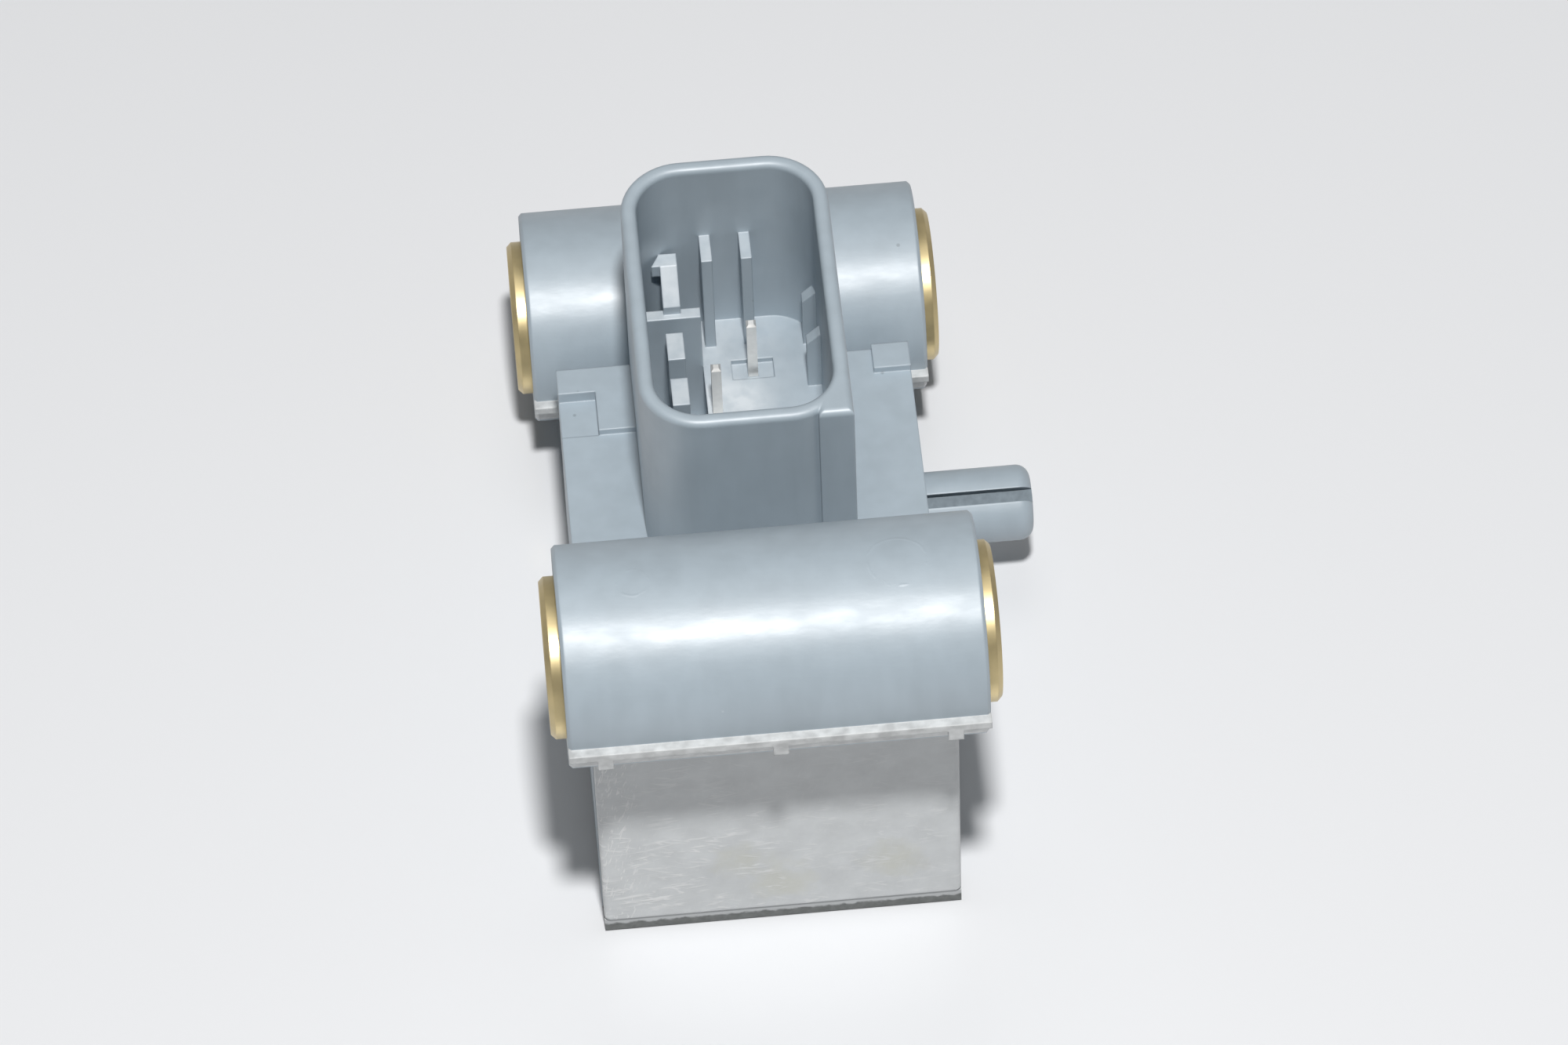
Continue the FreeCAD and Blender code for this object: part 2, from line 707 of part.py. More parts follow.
def make_accelerometer():
    """A square sensor package with its lid."""
    body = new_body("accelerometer_chip")
    middle_x = "-compartment_width / 4"
    middle_z = f"{BOARD_Z} + compartment_height / 4"
    package = new_sketch(body, "package_outline", "XZ", middle_x, BOARD_Y, middle_z)
    rectangle(package, "chip_side", "chip_side")
    pad(body, package, "chip_height - lid_height")
    lid = new_sketch(body, "lid_outline", "XZ", middle_x, f"{BOARD_Y} - chip_height + lid_height", middle_z)
    rectangle(lid, "chip_side - 2 * lid_margin", "chip_side - 2 * lid_margin")
    pad(body, lid, "lid_height")


def make_interface_chip():
    """The bus driver: a moulded body over four strips of leads."""
    body = new_body("interface_chip")
    middle_x = "compartment_width / 4"
    middle_z = f"{BOARD_Z} + compartment_height / 4"
    moulding = new_sketch(body, "driver_outline", "XZ", middle_x, BOARD_Y, middle_z)
    rectangle(moulding, "driver_width", "driver_depth")
    pad(body, moulding, "driver_height")
    for lead in range(4):
        strip = new_sketch(
            body, f"driver_lead_{lead}", "XZ",
            f"{middle_x} + ({lead} - 1.5) * driver_pitch", BOARD_Y, middle_z,
        )
        rectangle(strip, "driver_lead_width", "driver_depth + 2 * driver_lead_reach")
        pad(body, strip, "driver_lead_height")


def make_chip_part(label, x, z, width, depth, height):
    """A small block-shaped part on the front of the board, its middle at x, z."""
    block = doc.addObject("Part::Box", label)
    block.Label = label
    block.setExpression("Length", bind(width))
    block.setExpression("Width", bind(height))
    block.setExpression("Height", bind(depth))
    place(block, f"{x} - {width} / 2", f"{BOARD_Y} - {height}", f"{z} - {depth} / 2")


def make_board_parts():
    """Everything that is soldered to the board."""
    make_accelerometer()
    make_interface_chip()
    low_row = "(compartment_bottom + board_gap + row_height)"
    diode_x = "(compartment_width / 2 - rail_width - board_gap - diode_width / 2)"
    make_chip_part("suppressor_diode", diode_x, low_row, "diode_width", "diode_depth", "diode_height")
    for place_in_row in range(3):
        x = f"(-compartment_width / 2 + rail_width + ({place_in_row} + 0.5) * resistor_pitch)"
        make_chip_part(
            f"capacitor_{place_in_row + 1}", x, f"({low_row} + row_offset)",
            "capacitor_length", "capacitor_width", "capacitor_height",
        )
        make_chip_part(
            f"resistor_{place_in_row + 1}", x, f"({low_row} - row_offset)",
            "resistor_length", "resistor_width", "resistor_height",
        )


PIECES = [
    "housing",
    "front_cover",
    "cover_seal",
    "front_sleeve",
    "rear_sleeve",
    "terminal_left",
    "terminal_right",
    "circuit_board",
    "accelerometer_chip",
    "interface_chip",
    "suppressor_diode",
    "capacitor_1",
    "capacitor_2",
    "capacitor_3",
    "resistor_1",
    "resistor_2",
    "resistor_3",
    "solder_left",
    "solder_right",
]


def check(pieces):
    """Stop if any object failed or any piece is not one sound solid."""
    for item in doc.Objects:
        if "Invalid" in item.State or "Error" in item.State:
            raise RuntimeError(f"{item.Name} failed: {item.State}")
    for label in pieces:
        shape = doc.getObjectsByLabel(label)[0].Shape
        if shape.isNull() or not shape.isValid() or len(shape.Solids) != 1:
            raise RuntimeError(f"{label} is not one sound solid")


make_housing()
for end, (axis_y, axis_z) in BARRELS.items():
    make_sleeve(end, axis_y, axis_z)
make_cover()
make_seal()
make_board()
make_board_parts()
for side, (x, y) in TERMINALS.items():
    make_terminal(side, x, y)
    make_solder(side, x)
doc.recompute()
check(PIECES)
os.makedirs("parts", exist_ok=True)
for label in PIECES:
    doc.getObjectsByLabel(label)[0].Shape.exportStep(f"parts/{label}.step")
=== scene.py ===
"""Looks of an impact sensor: finishes, moulding marks, floor, light and camera.

Metres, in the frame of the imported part: origin at the centre of the base, +X to the right along
the barrels, +Y to the rear barrel, +Z up.
"""
import json
import math

import bpy
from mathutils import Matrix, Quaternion, Vector


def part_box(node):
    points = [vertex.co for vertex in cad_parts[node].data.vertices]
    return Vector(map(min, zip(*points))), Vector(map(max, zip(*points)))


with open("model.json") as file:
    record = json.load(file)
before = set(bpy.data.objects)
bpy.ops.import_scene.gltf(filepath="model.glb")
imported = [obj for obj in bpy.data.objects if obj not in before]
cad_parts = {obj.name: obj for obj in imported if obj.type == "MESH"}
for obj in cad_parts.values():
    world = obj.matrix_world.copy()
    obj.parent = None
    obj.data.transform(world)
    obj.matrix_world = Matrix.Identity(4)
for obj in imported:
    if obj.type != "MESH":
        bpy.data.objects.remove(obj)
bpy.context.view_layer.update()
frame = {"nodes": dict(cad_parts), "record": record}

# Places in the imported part
MM = 0.001
nodes = frame["nodes"]
mounts = {mount["name"]: mount for mount in frame["record"]["mounts"]}
front_axis = Vector(mounts["front_sleeve_bore"]["pos_m"])
rear_axis = Vector(mounts["rear_sleeve_bore"]["pos_m"])
barrel_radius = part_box("housing")[1].z - front_axis.z
socket = Vector(mounts["connector"]["pos_m"])
peg_axis = Vector(mounts["locating_peg"]["pos_m"])
peg_radius = mounts["locating_peg"]["dims"]["r_mm"] * MM
cover_low, cover_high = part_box("front_cover")
left_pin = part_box("terminal_left")[1]

# The connector's floor lies half as high as its mouth
socket_floor = socket.z / 2

# Colours, as display values from 0 to 255
BLUE_GREY = (166, 179, 188)
PALE_SPECK = (222, 227, 230)
DARK_SPECK = (92, 100, 106)
PALE_LEDGE = (200, 202, 202)
COVER_GREY = (217, 220, 221)
COVER_STAIN = (208, 207, 188)
COVER_SCRATCH = (240, 241, 241)
SEAL_DARK = (116, 119, 118)
BRASS = (201, 184, 141)
TIN = (232, 231, 228)
BOARD_GREEN = (44, 104, 66)
CHIP_BLACK = (44, 44, 47)
CERAMIC_TAN = (172, 146, 112)
TABLE = (240, 241, 243)

# Camera
AIM = Vector((2.2, 4.0, 14.0)) * MM
CAMERA_PLACE = Vector((-16.6, -329.7, 439.6)) * MM
CAMERA_ROLL = math.radians(-2.33)
LENS_MM = 195.0
NEAREST_SEEN = 0.01

# Light
LAMP_AZIMUTH = math.radians(1.0)
LAMP_DISTANCE = 0.6
KEY_ELEVATION = math.radians(67.0)
KEY_SIZE = 0.04
KEY_POWER = 3.17
SOFT_ELEVATION = math.radians(105.0)
SOFT_SIZE = 0.3
SOFT_POWER = 0.27
ROOM_LIGHT = 0.09
ROOM_SEEN = 0.45

# Noise keeps near the middle of its range: its usual lows and highs
NOISE_LOW = 0.3
NOISE_HIGH = 0.7

# Edges: cosines between the flat and the rounded normal where the mask starts and where it is full
EDGE_START = 0.97
EDGE_FULL = 0.75
EDGE_SAMPLES = 6

# The colour sockets of a mix node, by number
COLOUR_A = 6
COLOUR_B = 7
MIXED = 2


def linear(colour):
    """A display colour as the linear RGBA that shaders take."""
    parts = [value / 255 for value in colour]
    return [p / 12.92 if p <= 0.04045 else ((p + 0.055) / 1.055) ** 2.4 for p in parts] + [1.0]


def shaded(colour, factor):
    """The linear colour made lighter or darker."""
    red, green, blue, alpha = linear(colour)
    return [red * factor, green * factor, blue * factor, alpha]


def new_material(name):
    """A material with a fresh shader: the material, its tree and the shader."""
    made = bpy.data.materials.new(name)
    made.use_nodes = True
    return made, made.node_tree, made.node_tree.nodes["Principled BSDF"]


def connect(tree, node, inputs):
    """Fill a node's inputs with links or plain values."""
    for name, value in inputs.items():
        if isinstance(value, bpy.types.NodeSocket):
            tree.links.new(value, node.inputs[name])
        else:
            node.inputs[name].default_value = value


def add(tree, kind, inputs=None, **settings):
    """A node with its settings made and its inputs filled."""
    made = tree.nodes.new(kind)
    for name, value in settings.items():
        setattr(made, name, value)
    connect(tree, made, inputs or {})
    return made


def point_on(tree):
    """The point on the object, in its own frame."""
    return add(tree, "ShaderNodeTexCoord").outputs["Object"]


def place_of(tree, scale=(1, 1, 1), shift=(0, 0, 0)):
    """The point on the object, stretched or shifted."""
    made = add(tree, "ShaderNodeMapping", {"Vector": point_on(tree), "Scale": scale, "Location": shift})
    return made.outputs["Vector"]


def coordinates(tree, place):
    """The point's X, Y and Z."""
    parts = add(tree, "ShaderNodeSeparateXYZ", {"Vector": place}).outputs
    return parts["X"], parts["Y"], parts["Z"]


def away_from(tree, place, centre):
    """How far the point lies from a centre."""
    made = add(tree, "ShaderNodeVectorMath", {0: place, 1: centre}, operation="DISTANCE")
    return made.outputs["Value"]


def noise(tree, place, size, detail=3.0, distortion=0.0):
    """Noise with spots of about the given size."""
    made = add(tree, "ShaderNodeTexNoise", {
        "Vector": place, "Scale": 1 / size, "Detail": detail, "Distortion": distortion,
    })
    return made.outputs["Fac"]


def fit(tree, value, low, high, out_low, out_high):
    """The value moved from one range to another, held at its ends."""
    made = add(tree, "ShaderNodeMapRange", {
        "Value": value, "From Min": low, "From Max": high, "To Min": out_low, "To Max": out_high,
    })
    return made.outputs["Result"]


def spread(tree, value, low=0.0, high=1.0):
    """Noise moved from its usual range to another."""
    return fit(tree, value, NOISE_LOW, NOISE_HIGH, low, high)


def maths(tree, operation, first, second):
    """One sum on two values."""
    return add(tree, "ShaderNodeMath", {0: first, 1: second}, operation=operation).outputs["Value"]


def times(tree, first, *others):
    """The product of several values."""
    for other in others:
        first = maths(tree, "MULTIPLY", first, other)
    return first


def most(tree, first, *others):
    """The greatest of several values."""
    for other in others:
        first = maths(tree, "MAXIMUM", first, other)
    return first


def mix(tree, factor, first, second):
    """Two colours mixed."""
    inputs = {"Factor": factor, COLOUR_A: first, COLOUR_B: second}
    return add(tree, "ShaderNodeMix", inputs, data_type="RGBA").outputs[MIXED]


def mottled(tree, factor, colour, tones):
    """A colour between its darker and its lighter tone."""
    dark, light = tones
    return mix(tree, factor, shaded(colour, dark), shaded(colour, light))


def bump(tree, height, depth, strength, normal=None):
    """A bumped normal."""
    inputs = {"Height": height, "Distance": depth, "Strength": strength}
    if normal:
        inputs["Normal"] = normal
    return add(tree, "ShaderNodeBump", inputs).outputs["Normal"]


def soft_edges(tree, radius):
    """The normal with edges rounded off, and a mask that is 1 on those edges."""
    rounded = add(tree, "ShaderNodeBevel", {"Radius": radius}, samples=EDGE_SAMPLES).outputs["Normal"]
    flat = add(tree, "ShaderNodeNewGeometry").outputs["Normal"]
    alike = add(tree, "ShaderNodeVectorMath", {0: rounded, 1: flat}, operation="DOT_PRODUCT")
    return rounded, fit(tree, alike.outputs["Value"], EDGE_START, EDGE_FULL, 0.0, 1.0)


# Specks: how far apart, how large, how strong, and where random values turn from dark to pale
SPECK_SPACING = 3.4 * MM
SPECK_RADIUS = 0.16 * MM
SPECK_STRENGTH = 0.45
SPECK_TURN = (0.45, 0.5)


def specked(tree, place, body):
    """The colour with a few tiny pale and dark specks in it."""
    spots = add(tree, "ShaderNodeTexVoronoi", {"Vector": place, "Scale": 1 / SPECK_SPACING})
    tint = fit(tree, spots.outputs["Color"], *SPECK_TURN, 0.0, 1.0)
    speck = mix(tree, tint, linear(DARK_SPECK), linear(PALE_SPECK))
    reach = SPECK_RADIUS / SPECK_SPACING
    inside = fit(tree, spots.outputs["Distance"], 0.5 * reach, reach, SPECK_STRENGTH, 0.0)
    return mix(tree, inside, body, speck)


# Pale film on the connector's up-facing faces, residue round the left pin and painted light elsewhere:
# across the floor, round the pin, and its blotches
FILM_AND_LIGHT_ACROSS = (-2 * MM, 4 * MM)
FILM_AND_LIGHT_STRENGTHS = (0.6, 0.14)
FILM_ROUND_PIN = (1.6 * MM, 4.4 * MM)
FILM_PIN_STRENGTH = 0.9
FILM_BLOTCH = 1.1 * MM
FILM_BLOTCH_RANGE = (0.36, 0.6)
FILM_THINNEST = 0.6


def residue_and_painted_light(tree, place, body):
    """The colour with the pale film inside the connector, thicker on the left and round the left pin:
    residue round the pin, and painted light on the up-facing faces.
    """
    pin_foot = Vector((left_pin.x, left_pin.y, socket_floor))
    across = coordinates(tree, place)[0]
    film_and_light = fit(tree, across, *FILM_AND_LIGHT_ACROSS, *FILM_AND_LIGHT_STRENGTHS)
    patch = fit(tree, away_from(tree, place, pin_foot), *FILM_ROUND_PIN, FILM_PIN_STRENGTH, 0.0)
    blotch = fit(tree, noise(tree, place, FILM_BLOTCH), *FILM_BLOTCH_RANGE, FILM_THINNEST, 1.0)
    return mix(tree, times(tree, most(tree, film_and_light, patch), blotch), body, linear(PALE_SPECK))


# Marks of the ejector pins on top of the front barrel: place along X and radius
EJECTOR_MARKS = ((7.9 * MM, 1.8 * MM), (-8.2 * MM, 1.0 * MM))
EJECTOR_RING = 0.14 * MM
EJECTOR_BREAKS = 0.7 * MM
EJECTOR_BREAK_RANGE = (0.45, 0.6)
EJECTOR_DEPTH = 0.03 * MM
EJECTOR_STRENGTH = 0.5


def ejector_marks(tree, place):
    """Raised, broken rings that the ejector pins left on the front barrel."""
    rings = []
    for along, radius in EJECTOR_MARKS:
        centre = Vector((along, front_axis.y, front_axis.z + barrel_radius))
        off = maths(tree, "SUBTRACT", away_from(tree, place, centre), radius)
        rings.append(fit(tree, maths(tree, "ABSOLUTE", off, 0.0), 0.0, EJECTOR_RING, 1.0, 0.0))
    breaks = noise(tree, place, EJECTOR_BREAKS, detail=2.0)
    return times(tree, most(tree, *rings), fit(tree, breaks, *EJECTOR_BREAK_RANGE, 0.0, 1.0))


# Housing plastic: clouds and upright streaks in its colour, waves along X and grain in its skin, and paler
# edges that are wear and a painted highlight
HOUSING_CLOUD = 6 * MM
HOUSING_STREAK = 1.5 * MM
STREAK_STRETCH = (1, 1, 0.2)
HOUSING_WAVE = 1.1 * MM
WAVE_STRETCH = (0.35, 1, 1)
WAVE_RANGE = (0.35, 0.65)
WAVE_DEPTH = 0.04 * MM
WAVE_STRENGTH = 0.42
HOUSING_GRAIN = 0.22 * MM
HOUSING_GRAIN_DEPTH = 0.008 * MM
HOUSING_GRAIN_STRENGTH = 0.25
HOUSING_TONES = (0.92, 1.08)
HOUSING_EDGE = 0.16 * MM
HOUSING_EDGE_TONE = 1.45
HOUSING_EDGE_WEAR_AND_SHEEN = 0.3
HOUSING_ROUGHNESS = (0.42, 0.49)
HOUSING_SPECULAR = 0.9
HOUSING_IOR = 1.6


def housing_plastic(name, film_and_light=False):
    """Satin moulded plastic: cloudy colour, specks, slightly wavy skin and paler edges, worn and with a
    painted highlight.
    """
    made, tree, shader = new_material(name)
    place = place_of(tree)
    cloud = spread(tree, noise(tree, place, HOUSING_CLOUD))
    streak = spread(tree, noise(tree, place_of(tree, scale=STREAK_STRETCH), HOUSING_STREAK, detail=2.0))
    wave = noise(tree, place_of(tree, scale=WAVE_STRETCH), HOUSING_WAVE)
    grain = noise(tree, place, HOUSING_GRAIN, detail=2.0)
    rounded, edge = soft_edges(tree, HOUSING_EDGE)
    mean = times(tree, maths(tree, "ADD", cloud, streak), 0.5)
    body = specked(tree, place, mottled(tree, mean, BLUE_GREY, HOUSING_TONES))
    # Pale film: residue, and painted light on the connector's up-facing faces
    if film_and_light:
        body = residue_and_painted_light(tree, place, body)
    # Paler edges: wear and a painted highlight along every edge
    worn_and_sheen = times(tree, edge, HOUSING_EDGE_WEAR_AND_SHEEN)
    skin = bump(tree, wave, WAVE_DEPTH, WAVE_STRENGTH, rounded)
    marked = bump(tree, ejector_marks(tree, place), EJECTOR_DEPTH, EJECTOR_STRENGTH, skin)
    connect(tree, shader, {
        "Base Color": mix(tree, worn_and_sheen, body, shaded(BLUE_GREY, HOUSING_EDGE_TONE)),
        "Roughness": fit(tree, wave, *WAVE_RANGE, *HOUSING_ROUGHNESS),
        "Normal": bump(tree, grain, HOUSING_GRAIN_DEPTH, HOUSING_GRAIN_STRENGTH, marked),
        "Specular IOR Level": HOUSING_SPECULAR,
        "IOR": HOUSING_IOR,
    })
    return made


# Painted shade in the peg's groove: darker, dull plastic
GROOVE_GRAIN = 0.4 * MM
GROOVE_GRAIN_DEPTH = 0.02 * MM
GROOVE_GRAIN_STRENGTH = 0.4
GROOVE_SHADE_TONES = (0.55, 0.68)
GROOVE_ROUGHNESS = 0.85
GROOVE_SPECULAR = 0.2


def groove_painted_shade():
    """Dull plastic in the peg's groove, darkened as painted shade."""
    made, tree, shader = new_material("groove_look")
    grain = noise(tree, place_of(tree), GROOVE_GRAIN)
    connect(tree, shader, {
        # Darker blue-grey: painted shade in the groove
        "Base Color": mottled(tree, spread(tree, grain), BLUE_GREY, GROOVE_SHADE_TONES),
        "Normal": bump(tree, grain, GROOVE_GRAIN_DEPTH, GROOVE_GRAIN_STRENGTH),
        "Roughness": GROOVE_ROUGHNESS,
        "Specular IOR Level": GROOVE_SPECULAR,
    })
    return made


# Pale ledges, partly a painted highlight: pale patches and lumps
LEDGE_PATCH = 0.9 * MM
LEDGE_PATCH_RANGE = (0.34, 0.66)
LEDGE_LUMP = 0.5 * MM
LEDGE_LUMP_DEPTH = 0.08 * MM
LEDGE_LUMP_STRENGTH = 0.6
LEDGE_LIT_TONES = (0.86, 1.22)
LEDGE_EDGE = 0.16 * MM
LEDGE_EDGE_TONE = 1.45
LEDGE_EDGE_WEAR_AND_SHEEN = 0.5
LEDGE_ROUGHNESS = 0.42


def pale_lit_ledge_plastic():
    """The pale, uneven ledges along the mould's parting line, partly a painted highlight; the same pale
    colour is painted light on the shaded skin under them and on the tabs.
    """
    made, tree, shader = new_material("ledge_plastic_look")
    place = place_of(tree)
    patches = fit(tree, noise(tree, place, LEDGE_PATCH, detail=4.0), *LEDGE_PATCH_RANGE, 0.0, 1.0)
    lumps = noise(tree, place, LEDGE_LUMP, detail=2.0)
    rounded, edge = soft_edges(tree, LEDGE_EDGE)
    # Pale colour: partly a painted highlight on the ledges, and painted light where the skin and tabs lie
    # in shade
    body = mottled(tree, patches, PALE_LEDGE, LEDGE_LIT_TONES)
    # Paler edges: wear and a painted highlight along every edge
    worn_and_sheen = times(tree, edge, LEDGE_EDGE_WEAR_AND_SHEEN)
    connect(tree, shader, {
        "Base Color": mix(tree, worn_and_sheen, body, shaded(PALE_LEDGE, LEDGE_EDGE_TONE)),
        "Normal": bump(tree, lumps, LEDGE_LUMP_DEPTH, LEDGE_LUMP_STRENGTH, rounded),
        "Roughness": LEDGE_ROUGHNESS,
    })
    return made


# Scratches on the cover: each set of strokes by its slope in degrees, size and stretch
LONG_STROKES = (8, 2.2 * MM, 7)
SHORT_STROKES = (-16, 1.4 * MM, 5)
UPRIGHT_STROKES = (78, 1.0 * MM, 5)
STROKE_WANDER = 0.7
STROKE_RANGE = (0.575, 0.665)
STROKE_STRENGTH = 0.95

# Where they lie, from the cover's middle and from the table
SCRATCH_PATCH = 2.4 * MM
SCRATCH_PATCH_RANGE = (0.44, 0.58)
SCRATCHED_LEFT = (-7 * MM, 2 * MM)
SCRATCHED_LOW = (13 * MM, 9 * MM)
SCRATCHED_EDGE = (-9.8 * MM, -8.2 * MM)
SCRATCHED_ELSEWHERE = 0.1
SCRATCHED_RIGHT = 0.5
SCRATCHED_HIGH = 0.4


def strokes(tree, slope, size, stretch):
    """Soft short strokes in one direction on the XZ plane, as a mask."""
    turn = (0, math.radians(slope), 0)
    turned = add(tree, "ShaderNodeMapping", {"Vector": point_on(tree), "Rotation": turn}).outputs["Vector"]
    drawn = add(tree, "ShaderNodeMapping", {"Vector": turned, "Scale": (1, 1, stretch)}).outputs["Vector"]
    marks = noise(tree, drawn, size, detail=2.0, distortion=STROKE_WANDER)
    return fit(tree, marks, *STROKE_RANGE, 0.0, STROKE_STRENGTH)


def rubbed(tree, place):
    """Where the cover is scratched: level strokes, most at the lower left, and upright ones at its edge."""
    across, _, height = coordinates(tree, place)
    level = most(tree, strokes(tree, *LONG_STROKES), strokes(tree, *SHORT_STROKES))
    upright = strokes(tree, *UPRIGHT_STROKES)
    patchy = noise(tree, place, SCRATCH_PATCH, detail=2.0)
    patches = fit(tree, patchy, *SCRATCH_PATCH_RANGE, SCRATCHED_ELSEWHERE, 1.0)
    left = fit(tree, across, *SCRATCHED_LEFT, 1.0, SCRATCHED_RIGHT)
    low = fit(tree, height, *SCRATCHED_LOW, SCRATCHED_HIGH, 1.0)
    edge = fit(tree, across, *SCRATCHED_EDGE, 1.0, SCRATCHED_ELSEWHERE)
    return most(tree, times(tree, level, patches, left, low), times(tree, upright, edge))


# Faint stains on the cover: place along X and up
COVER_STAINS = ((7.1 * MM, 5.4 * MM), (-2.4 * MM, 6.3 * MM), (-0.2 * MM, 4.1 * MM))
STAIN_RAG = 1.6 * MM
STAIN_RAG_REACH = 0.9 * MM
STAIN_FADE = (0.4 * MM, 2.2 * MM)
STAIN_STRENGTH = 0.4


def stained(tree, place):
    """Faint blots on the cover, as a mask."""
    ragged = spread(tree, noise(tree, place, STAIN_RAG), -STAIN_RAG_REACH, STAIN_RAG_REACH)
    blots = []
    for along, up in COVER_STAINS:
        far = maths(tree, "ADD", away_from(tree, place, (along, cover_low.y, up)), ragged)
        blots.append(fit(tree, far, *STAIN_FADE, STAIN_STRENGTH, 0.0))
    return most(tree, *blots)


# Cover plastic
COVER_BLOTCH = 1.8 * MM
COVER_GRAIN = 0.15 * MM
COVER_GRAIN_DEPTH = 0.012 * MM
COVER_GRAIN_STRENGTH = 0.3
COVER_TONES = (0.93, 1.07)
COVER_EDGE = 0.14 * MM
COVER_EDGE_TONE = 1.3
COVER_EDGE_WEAR_AND_SHEEN = 0.4
COVER_ROUGHNESS = (0.45, 0.6)
SCRATCH_DEPTH = 0.03 * MM
SCRATCH_STRENGTH = 0.4


def cover_plastic():
    """The matt cover: blotchy grey with short pale scratches and faint stains."""
    made, tree, shader = new_material("cover_plastic_look")
    place = place_of(tree)
    blotch = spread(tree, noise(tree, place, COVER_BLOTCH, detail=6.0))
    grain = noise(tree, place, COVER_GRAIN, detail=2.0)
    rounded, edge = soft_edges(tree, COVER_EDGE)
    scratched = rubbed(tree, place)
    body = mottled(tree, blotch, COVER_GREY, COVER_TONES)
    body = mix(tree, stained(tree, place), body, linear(COVER_STAIN))
    body = mix(tree, scratched, body, linear(COVER_SCRATCH))
    # Paler edges: wear and a painted highlight along every edge
    worn_and_sheen = times(tree, edge, COVER_EDGE_WEAR_AND_SHEEN)
    scored = bump(tree, scratched, SCRATCH_DEPTH, SCRATCH_STRENGTH, rounded)
    connect(tree, shader, {
        "Base Color": mix(tree, worn_and_sheen, body, shaded(COVER_GREY, COVER_EDGE_TONE)),
        "Roughness": fit(tree, blotch, 0.0, 1.0, *COVER_ROUGHNESS),
        "Normal": bump(tree, grain, COVER_GRAIN_DEPTH, COVER_GRAIN_STRENGTH, scored),
    })
    return made


# Seal: how far below the cover the grey smear on it ends, from its ragged edge to its full strength
SEAL_GRAIN = 0.4 * MM
SEAL_GRAIN_DEPTH = 0.02 * MM
SEAL_GRAIN_STRENGTH = 0.4
SEAL_TONES = (0.85, 1.15)
SEAL_ROUGHNESS = 0.7
SMEAR_RAG = 0.8 * MM
SMEAR_RAG_REACH = 0.12 * MM
SMEAR_END = 0.5 * MM
SMEAR_FULL = 0.34 * MM
SMEAR_TONE = 0.8


def seal_rubber():
    """Dark, dull seal, with the cover's grey smeared over its upper edge."""
    made, tree, shader = new_material("seal_look")
    place = place_of(tree)
    grain = spread(tree, noise(tree, place, SEAL_GRAIN))
    ragged = spread(tree, noise(tree, place, SMEAR_RAG), -SMEAR_RAG_REACH, SMEAR_RAG_REACH)
    height = maths(tree, "ADD", coordinates(tree, place)[2], ragged)
    smeared = fit(tree, height, cover_low.z - SMEAR_END, cover_low.z - SMEAR_FULL, 0.0, 1.0)
    body = mottled(tree, grain, SEAL_DARK, SEAL_TONES)
    connect(tree, shader, {
        "Base Color": mix(tree, smeared, body, shaded(COVER_GREY, SMEAR_TONE)),
        "Normal": bump(tree, grain, SEAL_GRAIN_DEPTH, SEAL_GRAIN_STRENGTH),
        "Roughness": SEAL_ROUGHNESS,
    })
    return made


# Brass: clouds in its colour and the rings of the lathe
BRASS_CLOUD = 2.5 * MM
BRASS_TONES = (0.85, 1.12)
BRASS_ROUGHNESS = (0.36, 0.48)
BRASS_EDGE = 0.08 * MM
LATHE_PITCH = 0.9 * MM
LATHE_WANDER = 0.6
LATHE_DEPTH = 0.01 * MM
LATHE_STRENGTH = 0.25


def turned_brass(name, axis):
    """Brass with the fine rings of a lathe about the sleeve's axis."""
    made, tree, shader = new_material(name)
    place = place_of(tree, shift=tuple(-axis))
    rings = add(tree, "ShaderNodeTexWave", {
        "Vector": place, "Scale": 1 / LATHE_PITCH, "Distortion": LATHE_WANDER, "Detail": 2.0,
    }, wave_type="RINGS", rings_direction="X").outputs["Fac"]
    cloud = noise(tree, place, BRASS_CLOUD)
    rounded, _ = soft_edges(tree, BRASS_EDGE)
    connect(tree, shader, {
        "Base Color": mottled(tree, spread(tree, cloud), BRASS, BRASS_TONES),
        "Roughness": spread(tree, cloud, *BRASS_ROUGHNESS),
        "Normal": bump(tree, rings, LATHE_DEPTH, LATHE_STRENGTH, rounded),
        "Metallic": 1.0,
    })
    return made


# Tin on the terminals and their solder
TIN_MOTTLE = 0.9 * MM
TIN_TONES = (0.9, 1.08)
TIN_ROUGHNESS = (0.32, 0.45)
TIN_METALLIC = 0.45


def tinned_metal():
    """Dull, pale tin with a soft mottle."""
    made, tree, shader = new_material("tin_look")
    mottle = spread(tree, noise(tree, place_of(tree), TIN_MOTTLE, detail=2.0))
    connect(tree, shader, {
        "Base Color": mottled(tree, mottle, TIN, TIN_TONES),
        "Roughness": fit(tree, mottle, 0.0, 1.0, *TIN_ROUGHNESS),
        "Metallic": TIN_METALLIC,
    })
    return made


# Parts inside the housing
INNER_MOTTLE = 0.8 * MM
INNER_TONES = (0.85, 1.15)
CHIP_ROUGHNESS = 0.5
CERAMIC_ROUGHNESS = 0.45
BOARD_ROUGHNESS = 0.35


def board_part(name, colour, roughness):
    """A part inside the housing: an even body with a fine mottle."""
    made, tree, shader = new_material(name)
    mottle = spread(tree, noise(tree, place_of(tree), INNER_MOTTLE))
    connect(tree, shader, {
        "Base Color": mottled(tree, mottle, colour, INNER_TONES),
        "Roughness": roughness,
    })
    return made


# Table: half its side, clouds in its colour, and how much of its light it throws back
TABLE_HALF = 2.0
TABLE_CLOUD = 0.3
TABLE_TONES = (0.99, 1.01)
TABLE_ROUGHNESS = 0.22
TABLE_BOUNCE = 0.8


